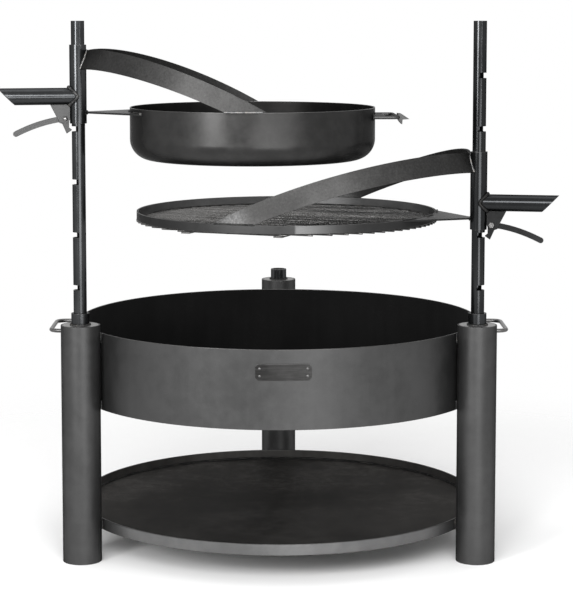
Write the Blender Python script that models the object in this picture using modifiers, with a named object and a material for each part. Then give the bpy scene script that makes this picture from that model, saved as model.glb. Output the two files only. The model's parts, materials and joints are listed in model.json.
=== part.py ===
"""Brazier on three tube legs, with a swinging grill and a swinging pan.

Two poles stand in sockets on the front legs. On each pole a carriage slides and latches into
notches; one carries the round grill, the other a deep pan. A log tray lies under the bowl.
Metres, +Z up, origin on the ground under the middle of the bowl, front towards -Y.
"""

import math

import bmesh
import bpy
from mathutils import Vector

# Weld seams and seats keep this gap between neighbouring pieces.
SEAM = 0.0004
SHARP_ANGLE = math.radians(30)

# Bowl and log tray
BOWL_RADIUS = 0.474
BOWL_WALL = 0.003
BOWL_TOP = 0.524
BOWL_BOTTOM = 0.347
BOWL_FLOOR_RISE = 0.004
BOWL_FLOOR_THICKNESS = 0.004
TRAY_TOP = 0.0945
TRAY_BOTTOM = 0.069
TRAY_WALL = 0.003
TRAY_FLOOR_THICKNESS = 0.003

# Legs
LEG_RADIUS = 0.0445
LEG_WALL = 0.003
LEG_HEIGHT = 0.545
LEG_FOOT_THICKNESS = 0.004
LEG_CAP_THICKNESS = 0.005
LEG_ANGLES = {"left": 210, "right": 330, "rear": 90}

# Sockets that take the poles
SOCKET_WALL = 0.005
SOCKET_RISE = 0.027
SOCKET_DEPTH = 0.140
SOCKET_FLOOR_THICKNESS = 0.006

# Poles
POLE_RADIUS = 0.015
POLE_WALL = 0.0026
POLE_TOP = 1.230
POLE_CLEARANCE = 0.0004
NOTCH_FIRST = 0.6305
NOTCH_PITCH = 0.1195
NOTCH_COUNT = 5
NOTCH_HEIGHT = 0.0118
NOTCH_DEPTH = 0.0118

# Carriages
SLEEVE_LENGTH = 0.176
SLEEVE_WALL = 0.0036
LATCH_DROP = 0.012
GRIP_RADIUS = 0.019
GRIP_WALL = 0.003
GRIP_RISE = 0.061
GRIP_LENGTH = 0.180
GRIP_TURN = math.radians(11)
# a pole turns in its socket, so its notches face a little past the lever
PAN_POLE_TURN = math.radians(3)
GRILL_POLE_TURN = math.radians(-18)
PAN_NOTCH = 3
GRILL_NOTCH = 1
PAN_SWING = math.radians(2.5)
GRILL_SWING = math.radians(158)

# Latch, in the upright plane through the grip: distance from the pole's axis, rise over the
# sleeve's lower end
PIVOT_OUT = 0.030
PIVOT_RISE = 0.011
LEVER_LENGTH = 0.110
LEVER_WIDTH = 0.0125
LEVER_THICKNESS = 0.005
LEVER_SLOPE = 0.099
LEVER_BEND = 1.827
CLAW_SHANK_IN = 0.021
CLAW_LOW_OUT = 0.0265
CLAW_LOW_RISE = -0.0225
CLAW_TIP_CLEARANCE = 0.00035
CLAW_ROOT_OUT = 0.036
CLAW_ROOT_RISE = -0.001
CHEEK_THICKNESS = 0.003
CHEEK_GAP = 0.0005
CHEEK_TOP_OUT = 0.062
CHEEK_LOW_OUT = 0.0415
CHEEK_LOW_RISE = 0.001
CHEEK_EDGE = 0.0105
BOLT_RADIUS = 0.003
BOLT_HEAD_RADIUS = 0.0055
BOLT_HEAD_HEIGHT = 0.0035
BOLT_CLEARANCE = 0.0002
NUT_RADIUS = 0.0064
NUT_HEIGHT = 0.005
BOLT_BEYOND_NUT = 0.0015

# Arms
RING_GAP = 0.115
STRIP_WIDTH = 0.046
STRIP_THICKNESS = 0.005
STRIP_START_OUT = 0.0145
STRIP_START_SIDE = 0.0085
STRIP_HUMP = 0.30
STRIP_START_LEAN = math.radians(25)
STRIP_END_LEAN = math.radians(1.5)
PAN_STRIP_RISE = 0.142
PAN_LANDING_BACK = 0.018
GRILL_STRIP_RISE = 0.150
GRILL_LANDING_BACK = 0.007
GUSSET_THICKNESS = 0.004
GUSSET_RISE = 0.0245
GUSSET_START_WIDTH = 0.020
GUSSET_END_WIDTH = 0.250

# Pan
PAN_RADIUS = 0.2755
PAN_DEPTH = 0.117
PAN_WALL = 0.003
PAN_CORNER = 0.046
PAN_RIM_RISE = 0.0365
PAN_HANDLE_WIDTH = 0.150
PAN_HANDLE_REACH = 0.047
PAN_HANDLE_ROD = 0.004
PAN_HANDLE_BEND = 0.012
PAN_HANDLE_DROP = 0.021
PAN_HANDLE_PLATE = 0.004
PAN_HANDLE_PLATE_REACH = 0.022
PAN_HOOK_WIDTH = 0.030
PAN_HOOK_OUTLINE = [
    (0, 0.006), (0.008, 0.005), (0.026, -0.007), (0.0105, -0.008), (0.0095, -0.019),
    (0.0045, -0.014), (0, -0.007),
]

# Grill
GRILL_RADIUS = 0.350
RING_WALL = 0.004
RING_HEIGHT = 0.0185
RING_TOP_RISE = 0.027
ROD_RADIUS = 0.0025
ROD_PITCH = 0.025
CROSS_BAR_WIDTH = 0.020
CROSS_BAR_THICKNESS = 0.004
CROSS_BAR_OFFSET = 0.110
CROSS_BAR_WELD = 0.001

# Bowl fittings
HANDLE_ROD = 0.005
HANDLE_WIDTH = 0.155
HANDLE_REACH = 0.064
HANDLE_DROP = 0.022
HANDLE_BEND = 0.022
PLATE_WIDTH = 0.123
PLATE_HEIGHT = 0.036
PLATE_THICKNESS = 0.002
PLATE_CHAMFER = 0.006
PLATE_RISE = 0.4745
PLATE_OFFSET = 0.010
RIVET_RADIUS = 0.0032
RIVET_HEIGHT = 0.0018
RIVET_SPACING = 0.104
RIVET_ROWS = 0.016

# Sizes that follow from those above
SOCKET_BORE = POLE_RADIUS + POLE_CLEARANCE
SOCKET_RADIUS = SOCKET_BORE + SOCKET_WALL
SLEEVE_BORE = POLE_RADIUS + POLE_CLEARANCE
SLEEVE_RADIUS = SLEEVE_BORE + SLEEVE_WALL
LEG_CIRCLE = BOWL_RADIUS + SEAM + LEG_RADIUS
SOCKET_FLOOR_TOP = LEG_HEIGHT - SOCKET_DEPTH
GRIP_ANGLE = math.pi + GRIP_TURN
PAN_HEIGHT = NOTCH_FIRST + PAN_NOTCH * NOTCH_PITCH + LATCH_DROP
GRILL_HEIGHT = NOTCH_FIRST + GRILL_NOTCH * NOTCH_PITCH + LATCH_DROP

# Colour, roughness and metallic value of each kind of steel
FINISHES = {
    "mill steel": ((0.085, 0.085, 0.083), 0.48, 0.85),
    "sooty steel": ((0.022, 0.022, 0.022), 0.62, 0.7),
    "blued pole": ((0.030, 0.032, 0.036), 0.34, 0.9),
    "brushed strip": ((0.105, 0.104, 0.100), 0.5, 0.85),
    "bright cap": ((0.56, 0.56, 0.54), 0.42, 0.9),
    "bright rod": ((0.30, 0.30, 0.29), 0.38, 0.95),
    "zinc bolt": ((0.62, 0.62, 0.60), 0.28, 1.0),
}


def start_scene():
    """An empty scene with one collection for the pieces and one for the cutters."""
    for obj in list(bpy.data.objects):
        bpy.data.objects.remove(obj, do_unlink=True)
    for name in ("brazier with grill", "cutters"):
        collection = bpy.data.collections.new(name)
        bpy.context.scene.collection.children.link(collection)


def material(name, finish):
    colour, roughness, metallic = FINISHES[finish]
    made = bpy.data.materials.new(name)
    made.use_nodes = True
    shader = made.node_tree.nodes["Principled BSDF"]
    shader.inputs["Base Color"].default_value = (*colour, 1)
    shader.inputs["Roughness"].default_value = roughness
    shader.inputs["Metallic"].default_value = metallic
    made.diffuse_color = (*colour, 1)
    return made


def place(name, data, at=(0, 0, 0), turn=(0, 0, 0), parent=None, finish=None):
    """A new object in the pieces' collection, or in the cutters' when it has no finish."""
    obj = bpy.data.objects.new(name, data)
    obj.location = at
    obj.rotation_euler = turn
    obj.parent = parent
    collection = "brazier with grill" if finish or data is None else "cutters"
    bpy.data.collections[collection].objects.link(obj)
    if finish:
        data.materials.append(material(name, finish))
    elif data is not None:
        obj.hide_render = True
        obj.display_type = "WIRE"
    return obj


def frame(name, at, turn=0.0, parent=None):
    """An empty that a moving body hangs on."""
    return place(name, None, at, (0, 0, turn), parent)


def cut(obj, cutter, operation="DIFFERENCE"):
    modifier = obj.modifiers.new(cutter.name, "BOOLEAN")
    modifier.operation = operation
    modifier.solver = "EXACT"
    modifier.object = cutter


def shaded(obj):
    """Makes the object's modifiers part of its mesh, smooth but for its sharp edges."""
    graph = bpy.context.evaluated_depsgraph_get()
    mesh = bpy.data.meshes.new_from_object(obj.evaluated_get(graph))
    mesh.name = obj.name
    obj.modifiers.clear()
    obj.data = mesh
    mesh.shade_smooth()
    mesh.set_sharp_from_angle(angle=SHARP_ANGLE)
    return obj


def turned(name, profile, steps, closed=True, **placing):
    """A profile of (radius, height) points turned about Z. Its outer side runs downwards."""
    mesh = bpy.data.meshes.new(name)
    count = len(profile)
    edges = [(i, i + 1) for i in range(count - 1)]
    if closed:
        edges.append((count - 1, 0))
    mesh.from_pydata([(r, 0, z) for r, z in profile], edges, [])
    obj = place(name, mesh, **placing)
    screw = obj.modifiers.new("turn", "SCREW")
    screw.angle = 2 * math.pi
    screw.steps = screw.render_steps = steps
    screw.use_merge_vertices = True
    screw.merge_threshold = 0.00001
    return shaded(obj)


def tube(name, radius, bore, low, high, steps, **placing):
    profile = [(radius, high), (radius, low), (bore, low), (bore, high)]
    return turned(name, profile, steps, **placing)


def disc(name, radius, low, high, steps, **placing):
    profile = [(0, high), (radius, high), (radius, low), (0, low)]
    return turned(name, profile, steps, closed=False, **placing)


def cylinder_cutter(name, radius, low, high, steps=48, **placing):
    return disc(name, radius, low, high, steps, **placing)


def box(name, low, high, **placing):
    """A box between two corners in its parent's frame."""
    built = bmesh.new()
    bmesh.ops.create_cube(built, size=1)
    middle = (Vector(low) + Vector(high)) / 2
    for vertex in built.verts:
        vertex.co = Vector(
            vertex.co[i] * (high[i] - low[i]) + middle[i] for i in range(3)
        )
    mesh = bpy.data.meshes.new(name)
    built.to_mesh(mesh)
    built.free()
    return place(name, mesh, **placing)


def plate(name, outlines, thickness, **placing):
    """A flat plate from closed outlines; a second outline inside the first is a hole."""
    curve = bpy.data.curves.new(name, "CURVE")
    curve.dimensions = "2D"
    curve.fill_mode = "BOTH"
    curve.extrude = thickness / 2
    for outline in outlines:
        spline = curve.splines.new("POLY")
        spline.points.add(len(outline) - 1)
        for point, (x, y) in zip(spline.points, outline):
            point.co = (x, y, 0, 1)
        spline.use_cyclic_u = True
    return place(name, curve, **placing)


def rod(name, points, radius, sides=2, **placing):
    """A round bar along points."""
    curve = bpy.data.curves.new(name, "CURVE")
    curve.dimensions = "3D"
    curve.bevel_depth = radius
    curve.bevel_resolution = sides
    curve.use_fill_caps = True
    spline = curve.splines.new("POLY")
    spline.points.add(len(points) - 1)
    for point, co in zip(spline.points, points):
        point.co = (*co, 1)
    return place(name, curve, **placing)


def arc(centre, radius, start, end, count):
    """Points on an arc, both ends included, with angles in degrees."""
    steps = [math.radians(start + (end - start) * i / (count - 1)) for i in range(count)]
    return [
        (centre[0] + radius * math.cos(a), centre[1] + radius * math.sin(a)) for a in steps
    ]


def leg_place(side):
    angle = math.radians(LEG_ANGLES[side])
    return LEG_CIRCLE * math.cos(angle), LEG_CIRCLE * math.sin(angle)


def make_leg(side):
    """A leg tube with its foot plate and cap, and the socket that stands inside it."""
    at = (*leg_place(side), 0)
    bore = LEG_RADIUS - LEG_WALL
    inner = bore - SEAM
    steel = {"at": at, "finish": "mill steel"}
    tube(f"leg_tube_{side}", LEG_RADIUS, bore, 0, LEG_HEIGHT, 48, **steel)
    disc(f"leg_foot_{side}", inner, 0, LEG_FOOT_THICKNESS, 32, **steel)
    low = LEG_HEIGHT - LEG_CAP_THICKNESS
    cap_bore = SOCKET_RADIUS + SEAM
    tube(
        f"leg_cap_{side}", inner, cap_bore, low, LEG_HEIGHT, 32, at=at, finish="bright cap"
    )
    floor_low = SOCKET_FLOOR_TOP - SOCKET_FLOOR_THICKNESS
    disc(f"socket_floor_{side}", inner, floor_low, SOCKET_FLOOR_TOP, 32, **steel)
    low = SOCKET_FLOOR_TOP + SEAM
    high = LEG_HEIGHT + SOCKET_RISE
    tube(
        f"socket_tube_{side}", SOCKET_RADIUS, SOCKET_BORE, low, high, 32,
        at=at, finish="blued pole",
    )


def make_bowl():
    inner = BOWL_RADIUS - BOWL_WALL
    tube(
        "bowl_wall", BOWL_RADIUS, inner, BOWL_BOTTOM, BOWL_TOP, 96, finish="mill steel"
    )
    low = BOWL_BOTTOM + BOWL_FLOOR_RISE
    disc(
        "bowl_floor", inner - 1.5 * SEAM, low, low + BOWL_FLOOR_THICKNESS, 96,
        finish="sooty steel",
    )


def make_tray():
    inner = BOWL_RADIUS - TRAY_WALL
    tube("tray_rim", BOWL_RADIUS, inner, TRAY_BOTTOM, TRAY_TOP, 96, finish="mill steel")
    disc(
        "tray_floor", inner - 1.5 * SEAM, TRAY_BOTTOM, TRAY_BOTTOM + TRAY_FLOOR_THICKNESS,
        96, finish="sooty steel",
    )


def bow(half, start, reach, bend):
    """A bent bar in plan: out from start along X, round, across, round and back."""
    points = [(start, -half)]
    points += arc((reach - bend, -half + bend), bend, -90, 0, 5)
    points += arc((reach - bend, half - bend), bend, 0, 90, 5)
    return points + [(start, half)]


def make_bowl_handles():
    height = BOWL_TOP - HANDLE_DROP
    half = HANDLE_WIDTH / 2
    # the bar's outer side meets the curved wall first, on the side away from the middle
    near = math.sqrt(BOWL_RADIUS**2 - (half - HANDLE_ROD) ** 2) + SEAM
    reach = BOWL_RADIUS + HANDLE_REACH
    for side, turn in (("left", math.pi), ("right", 0)):
        points = [(x, y, 0) for x, y in bow(half, near, reach, HANDLE_BEND)]
        rod(
            f"bowl_handle_{side}", points, HANDLE_ROD, 3,
            at=(0, 0, height), turn=(0, 0, turn), finish="bright rod",
        )


def make_name_plate():
    """A blank plate bent to the bowl, with cut corners, held by four rivets."""
    inner = BOWL_RADIUS + SEAM
    middle = inner + PLATE_THICKNESS / 2
    turn = -math.pi / 2 + PLATE_OFFSET / BOWL_RADIUS
    half = PLATE_WIDTH / 2
    flat = half - PLATE_CHAMFER
    across = [-half] + [flat * (2 * i / 12 - 1) for i in range(13)] + [half]
    built = bmesh.new()
    bmesh.ops.create_grid(built, x_segments=len(across) - 1, y_segments=1, size=1)
    columns = sorted({round(v.co.x, 5) for v in built.verts})
    for vertex in built.verts:
        along = across[columns.index(round(vertex.co.x, 5))]
        tall = PLATE_HEIGHT / 2 - (PLATE_CHAMFER if abs(along) > flat + 1e-6 else 0)
        angle = along / middle
        rise = math.copysign(tall, vertex.co.y)
        vertex.co = (middle * math.cos(angle), middle * math.sin(angle), rise)
    mesh = bpy.data.meshes.new("name_plate")
    built.to_mesh(mesh)
    built.free()
    bent = place(
        "name_plate", mesh, at=(0, 0, PLATE_RISE), turn=(0, 0, turn), finish="brushed strip"
    )
    skin = bent.modifiers.new("thickness", "SOLIDIFY")
    skin.thickness = PLATE_THICKNESS
    skin.offset = 0
    shaded(bent)
    outer = inner + PLATE_THICKNESS + SEAM
    dome = [
        (RIVET_RADIUS * math.sin(math.radians(a)), RIVET_HEIGHT * math.cos(math.radians(a)))
        for a in (0, 30, 60, 90)
    ]
    for number in range(4):
        side = -1 if number < 2 else 1
        angle = turn + side * RIVET_SPACING / 2 / middle
        rise = PLATE_RISE + (RIVET_ROWS / 2 if number % 2 else -RIVET_ROWS / 2)
        turned(
            f"plate_rivet_{number + 1}", [*dome, (0, 0)], 16, closed=False,
            at=(outer * math.cos(angle), outer * math.sin(angle), rise),
            turn=(0, math.pi / 2, angle), finish="bright rod",
        )


def make_pole(name, axis, turn):
    """A tube with a row of square notches cut into it, on the side of the grip."""
    low = SOCKET_FLOOR_TOP + SEAM
    pole = tube(
        name, POLE_RADIUS, POLE_RADIUS - POLE_WALL, low, POLE_TOP, 32,
        parent=axis, finish="blued pole",
    )
    half = NOTCH_HEIGHT / 2
    wide = 2 * POLE_RADIUS
    cutter = box(
        f"{name}_notches", (POLE_RADIUS - NOTCH_DEPTH, -wide, -half), (wide, wide, half),
        at=(0, 0, NOTCH_FIRST), turn=(0, 0, GRIP_ANGLE + turn), parent=axis,
    )
    row = cutter.modifiers.new("row", "ARRAY")
    row.count = NOTCH_COUNT
    row.use_relative_offset = False
    row.use_constant_offset = True
    row.constant_offset_displace = (0, 0, NOTCH_PITCH)
    cut(pole, cutter)


def make_grip(name, carriage):
    """The grip tube, coped to the sleeve, with its open end cut at 45 degrees."""
    bore = GRIP_RADIUS - GRIP_WALL
    grip = tube(
        f"{name}_grip_tube", GRIP_RADIUS, bore, 0, GRIP_LENGTH + GRIP_RADIUS, 32,
        at=(0, 0, GRIP_RISE), turn=(math.pi / 2, 0, GRIP_ANGLE + math.pi / 2),
        parent=carriage, finish="blued pole",
    )
    cope = cylinder_cutter(
        f"{name}_grip_cope", SLEEVE_RADIUS + SEAM, -SLEEVE_LENGTH, 2 * SLEEVE_LENGTH,
        parent=carriage,
    )
    cut(grip, cope)
    # the cut runs down and inwards from the far end of the tube's top line
    turn = Vector((math.cos(GRIP_ANGLE), math.sin(GRIP_ANGLE), 0)) * GRIP_LENGTH
    top = (turn.x, turn.y, GRIP_RISE + GRIP_RADIUS)
    wide = 4 * GRIP_RADIUS
    end = box(
        f"{name}_grip_end", (0, -wide, -2 * wide), (2 * wide, wide, 2 * wide),
        at=top, turn=(0, math.radians(45), GRIP_ANGLE), parent=carriage,
    )
    cut(grip, end)


def lever_curve(along):
    """Height of the lever's middle line over the sleeve's lower end, out from the pivot."""
    return PIVOT_RISE - LEVER_SLOPE * along - LEVER_BEND * along**2


def lever_outline():
    """The lever and its claw as one plate, from the pivot's frame: outwards and upwards."""
    upper, lower = [], []
    half = LEVER_WIDTH / 2
    count = 14
    for i in range(count + 1):
        along = LEVER_LENGTH * i / count
        slope = -LEVER_SLOPE - 2 * LEVER_BEND * along
        normal = Vector((-slope, 1)).normalized() * half
        middle = Vector((along, lever_curve(along) - PIVOT_RISE))
        upper.append(tuple(middle + normal))
        lower.append(tuple(middle - normal))
    tip = (LEVER_LENGTH, lever_curve(LEVER_LENGTH) - PIVOT_RISE)
    lean = math.degrees(math.atan(-LEVER_SLOPE - 2 * LEVER_BEND * LEVER_LENGTH))
    cap = arc(tip, half, lean + 75, lean - 75, 6)
    # the claw's upper edge and its tip stand in the mouth of the notch
    reach = POLE_RADIUS + CLAW_TIP_CLEARANCE - PIVOT_OUT
    notch = -LATCH_DROP - PIVOT_RISE
    claw = [
        (CLAW_ROOT_OUT - PIVOT_OUT, CLAW_ROOT_RISE - PIVOT_RISE),
        (CLAW_LOW_OUT - PIVOT_OUT, CLAW_LOW_RISE - PIVOT_RISE),
        (reach, notch - 0.26 * NOTCH_HEIGHT),
        (reach, notch - 0.09 * NOTCH_HEIGHT),
        (CLAW_SHANK_IN - PIVOT_OUT, notch + 0.25 * NOTCH_HEIGHT),
    ]
    head = arc((0, 0), PIVOT_OUT - CLAW_SHANK_IN, 180, 95, 5)
    return upper[2:] + cap + lower[:1:-1] + claw + head


def cheek_outline():
    """A cheek plate, from the pole's axis outwards and up from the sleeve's lower end."""
    inside = SLEEVE_RADIUS + SEAM
    top = GRIP_RISE - GRIP_RADIUS - SEAM
    low = arc((PIVOT_OUT, PIVOT_RISE), CHEEK_EDGE, 215, 300, 5)
    far = [(CHEEK_LOW_OUT, CHEEK_LOW_RISE), (CHEEK_TOP_OUT, top)]
    return [(inside, top), (inside, PIVOT_RISE), *low, *far]


def circle(radius, count, centre=(0, 0)):
    return arc(centre, radius, 0, 360 * (count - 1) / count, count)


def make_latch(name, carriage):
    """Two cheek plates, the lever between them, and the bolt that it turns on."""
    upright = (math.pi / 2, 0, GRIP_ANGLE)
    hole = BOLT_RADIUS + BOLT_CLEARANCE
    side = Vector((-math.sin(GRIP_ANGLE), math.cos(GRIP_ANGLE), 0))
    out = Vector((math.cos(GRIP_ANGLE), math.sin(GRIP_ANGLE), 0))
    pivot = out * PIVOT_OUT + Vector((0, 0, PIVOT_RISE))
    offset = LEVER_THICKNESS / 2 + CHEEK_GAP + CHEEK_THICKNESS / 2
    for label, sign in (("a", 1), ("b", -1)):
        ring = circle(hole, 20, (PIVOT_OUT, PIVOT_RISE))
        plate(
            f"{name}_cheek_{label}", [cheek_outline(), ring], CHEEK_THICKNESS,
            at=side * sign * offset, turn=upright, parent=carriage, finish="mill steel",
        )
    axis = frame(f"{name}_lever_axis", pivot, 0, carriage)
    plate(
        f"{name}_lever", [lever_outline(), circle(hole, 20)], LEVER_THICKNESS,
        turn=upright, parent=axis, finish="mill steel",
    )
    face = offset + CHEEK_THICKNESS / 2 + SEAM
    nut_end = face + NUT_HEIGHT + BOLT_BEYOND_NUT
    head = BOLT_HEAD_HEIGHT
    dome = [
        (BOLT_HEAD_RADIUS * math.sin(math.radians(a)), head * math.cos(math.radians(a)))
        for a in (0, 30, 60, 80)
    ]
    profile = [(r, face + z) for r, z in dome] + [(BOLT_HEAD_RADIUS, face), (BOLT_RADIUS, face)]
    profile += [(BOLT_RADIUS, -nut_end), (0, -nut_end)]
    flat = (-math.pi / 2, 0, GRIP_ANGLE)
    turned(
        f"{name}_pivot_bolt", profile, 20, closed=False,
        at=pivot, turn=flat, parent=carriage, finish="zinc bolt",
    )
    nut = disc(
        f"{name}_pivot_nut", NUT_RADIUS, -face - NUT_HEIGHT, -face, 6,
        at=pivot, turn=flat, parent=carriage, finish="zinc bolt",
    )
    bore = cylinder_cutter(
        f"{name}_nut_bore", hole, -face - 2 * NUT_HEIGHT, 0, 20,
        at=pivot, turn=flat, parent=carriage,
    )
    cut(nut, bore)


def strip_point(part, up, radius, start_rise, top, back):
    """A point of the strip's middle surface, seen from above an arc that ends on the rim.

    part is 0 at the sleeve and 1 where the middle of the strip meets the rim, back from the
    rim's widest place; beyond it the strip follows the rim. up is the place across its width.
    """
    reach = RING_GAP + radius
    last = math.asin(back / radius)
    chord = Vector((reach - back - STRIP_START_OUT, radius * math.cos(last) - STRIP_START_SIDE))
    first = 2 * math.atan2(chord.y, chord.x) - last
    bend = chord.length / (2 * math.sin((first - last) / 2))
    if part <= 1:
        heading = first + (last - first) * part
        out = STRIP_START_OUT + bend * (math.sin(first) - math.sin(heading))
        away = STRIP_START_SIDE + bend * (math.cos(heading) - math.cos(first))
    else:
        heading = last - (part - 1) * bend * (first - last) / radius
        out = reach - radius * math.sin(heading)
        away = radius * math.cos(heading)
    fall = (1 + STRIP_HUMP) * part**2 - STRIP_HUMP * part
    lean = STRIP_START_LEAN + (STRIP_END_LEAN - STRIP_START_LEAN) * part
    width = up * STRIP_WIDTH
    inward = width * math.sin(lean)
    return Vector((
        out + math.sin(heading) * inward,
        away - math.cos(heading) * inward,
        start_rise - (start_rise - top) * fall + width * math.cos(lean),
    ))


def make_strip(name, carriage, side, radius, wall, *heights):
    """A flat bar rolled from the sleeve down to the rim of the pan or the ring."""
    built = bmesh.new()
    bmesh.ops.create_grid(built, x_segments=36, y_segments=2, size=1)
    for vertex in built.verts:
        part = -0.05 + 1.22 * (vertex.co.x + 1) / 2
        point = strip_point(part, vertex.co.y / 2, radius - wall / 2, *heights)
        point.y *= side
        vertex.co = point
    mesh = bpy.data.meshes.new(name)
    built.to_mesh(mesh)
    built.free()
    strip = place(name, mesh, parent=carriage, finish="brushed strip")
    skin = strip.modifiers.new("thickness", "SOLIDIFY")
    skin.thickness = STRIP_THICKNESS
    skin.offset = 0
    skin.use_even_offset = True
    shaded(strip)
    sleeve = cylinder_cutter(
        f"{name}_sleeve_cut", SLEEVE_RADIUS + SEAM, -SLEEVE_LENGTH, 2 * SLEEVE_LENGTH,
        parent=carriage,
    )
    cut(strip, sleeve)
    # each strip of an arm stays on its own side
    far = 2 * radius + SLEEVE_LENGTH
    across = (-far, SEAM / 2) if side > 0 else (-SEAM / 2, far)
    middle = box(
        f"{name}_middle_cut", (-far, across[0], -far), (far, across[1], far),
        parent=carriage,
    )
    cut(strip, middle)
    top = heights[1] + SEAM
    rim = box(f"{name}_rim_cut", (-far, -far, -far), (2 * far, far, top), parent=carriage)
    cut(strip, rim)


def make_gusset(name, carriage, radius):
    """The flat plate that ties the ring to the sleeve, cut round at both ends."""
    reach = RING_GAP + radius
    outer = radius + SEAM
    half = math.degrees(math.asin(GUSSET_END_WIDTH / 2 / outer))
    inner = SLEEVE_RADIUS + SEAM
    start = math.degrees(math.asin(GUSSET_START_WIDTH / 2 / inner))
    outline = arc((0, 0), inner, start, -start, 7)
    outline += arc((reach, 0), outer, 180 + half, 180 - half, 21)
    plate(
        f"{name}_gusset", [outline], GUSSET_THICKNESS,
        at=(0, 0, GUSSET_RISE), parent=carriage, finish="brushed strip",
    )


def make_carriage(name, carriage, radius, wall, *heights):
    """heights: the strips' start, the top of the rim, and the strips' landing behind its side."""
    tube(
        f"{name}_sleeve", SLEEVE_RADIUS, SLEEVE_BORE, 0, SLEEVE_LENGTH, 32,
        parent=carriage, finish="blued pole",
    )
    make_grip(name, carriage)
    make_latch(name, carriage)
    for label, side in (("a", 1), ("b", -1)):
        make_strip(f"{name}_strip_{label}", carriage, side, radius, wall, *heights)
    make_gusset(name, carriage, radius)


def make_pan(carriage):
    """The deep pan, its bowed handle with the plate between its legs, and the hook."""
    reach = RING_GAP + PAN_RADIUS
    low = PAN_RIM_RISE - PAN_DEPTH
    inner = PAN_CORNER - PAN_WALL
    flat = PAN_RADIUS - PAN_CORNER
    profile = [(0, low + PAN_WALL)]
    profile += arc((flat, low + PAN_CORNER), inner, -90, 0, 8)
    profile += [(PAN_RADIUS - PAN_WALL, PAN_RIM_RISE), (PAN_RADIUS, PAN_RIM_RISE)]
    profile += arc((flat, low + PAN_CORNER), PAN_CORNER, 0, -90, 8)
    profile += [(0, low)]
    turned("pan", profile, 80, closed=False, at=(reach, 0, 0), parent=carriage, finish="mill steel")
    height = PAN_RIM_RISE - PAN_HANDLE_DROP
    half = PAN_HANDLE_WIDTH / 2
    near = math.sqrt(PAN_RADIUS**2 - (half - PAN_HANDLE_ROD) ** 2) + SEAM
    far = PAN_RADIUS + PAN_HANDLE_REACH
    points = [(x, y, 0) for x, y in bow(half, near, far, PAN_HANDLE_BEND)]
    rod(
        "pan_handle", points, PAN_HANDLE_ROD,
        at=(reach, 0, height), parent=carriage, finish="bright rod",
    )
    wide = half - PAN_HANDLE_ROD - SEAM
    outer = PAN_RADIUS + SEAM
    lean = math.degrees(math.asin(wide / outer))
    outline = arc((0, 0), outer, lean, -lean, 9)
    end = PAN_RADIUS + PAN_HANDLE_PLATE_REACH
    outline += [(end, -wide), (end, wide)]
    plate(
        "pan_handle_plate", [outline], PAN_HANDLE_PLATE,
        at=(reach, 0, height), parent=carriage, finish="brushed strip",
    )
    start = far + PAN_HANDLE_ROD + SEAM
    plate(
        "pan_handle_hook", [PAN_HOOK_OUTLINE], PAN_HOOK_WIDTH,
        at=(reach + start, 0, height), turn=(math.pi / 2, 0, 0),
        parent=carriage, finish="bright rod",
    )


def bars(name, spans, radius, finish=None, **placing):
    """Round bars along X, one for each (middle, side offset, half length), in one mesh."""
    built = bmesh.new()
    for middle, offset, half in spans:
        made = bmesh.ops.create_cone(
            built, cap_ends=True, cap_tris=False, segments=8,
            radius1=radius, radius2=radius, depth=2 * half,
        )
        for vertex in made["verts"]:
            x, y, z = vertex.co
            vertex.co = (z + middle, y + offset, -x)
    mesh = bpy.data.meshes.new(name)
    built.to_mesh(mesh)
    built.free()
    return place(name, mesh, finish=finish, **placing)


def make_grill(carriage):
    """The ring of upright flat bar, and the rods under it with two cross bars below them."""
    reach = RING_GAP + GRILL_RADIUS
    low = RING_TOP_RISE - RING_HEIGHT
    tube(
        "grill_ring", GRILL_RADIUS, GRILL_RADIUS - RING_WALL, low, RING_TOP_RISE, 96,
        at=(reach, 0, 0), parent=carriage, finish="mill steel",
    )
    middle = low - SEAM - ROD_RADIUS
    # every rod crosses both bars
    bar_half = math.sqrt(GRILL_RADIUS**2 - (CROSS_BAR_OFFSET + CROSS_BAR_WIDTH / 2) ** 2)
    count = int(bar_half / ROD_PITCH)
    offsets = [i * ROD_PITCH for i in range(-count, count + 1)]
    spans = [(0, y, math.sqrt(GRILL_RADIUS**2 - y**2)) for y in offsets]
    grate = bars(
        "grate", spans, ROD_RADIUS, at=(reach, 0, middle), parent=carriage, finish="bright rod"
    )
    top = -ROD_RADIUS + CROSS_BAR_WELD
    for label, side in (("near", -1), ("far", 1)):
        x = side * CROSS_BAR_OFFSET
        bar = box(
            f"grate_bar_{label}",
            (x - CROSS_BAR_WIDTH / 2, -bar_half, top - CROSS_BAR_THICKNESS),
            (x + CROSS_BAR_WIDTH / 2, bar_half, top),
            at=(reach, 0, middle), parent=carriage,
        )
        cut(grate, bar, "UNION")


def build():
    start_scene()
    for side in LEG_ANGLES:
        make_leg(side)
    make_bowl()
    make_tray()
    make_bowl_handles()
    make_name_plate()
    left = frame("left_pole_axis", (*leg_place("left"), 0), PAN_SWING)
    right = frame("right_pole_axis", (*leg_place("right"), 0), GRILL_SWING)
    make_pole("pole_left", left, PAN_POLE_TURN)
    make_pole("pole_right", right, GRILL_POLE_TURN)
    pan = frame("pan_carriage_axis", (0, 0, PAN_HEIGHT), 0, left)
    grill = frame("grill_carriage_axis", (0, 0, GRILL_HEIGHT), 0, right)
    pan_heights = (PAN_STRIP_RISE, PAN_RIM_RISE, PAN_LANDING_BACK)
    make_carriage("pan", pan, PAN_RADIUS, PAN_WALL, *pan_heights)
    grill_heights = (GRILL_STRIP_RISE, RING_TOP_RISE, GRILL_LANDING_BACK)
    make_carriage("grill", grill, GRILL_RADIUS, RING_WALL, *grill_heights)
    make_pan(pan)
    make_grill(grill)


build()
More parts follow.
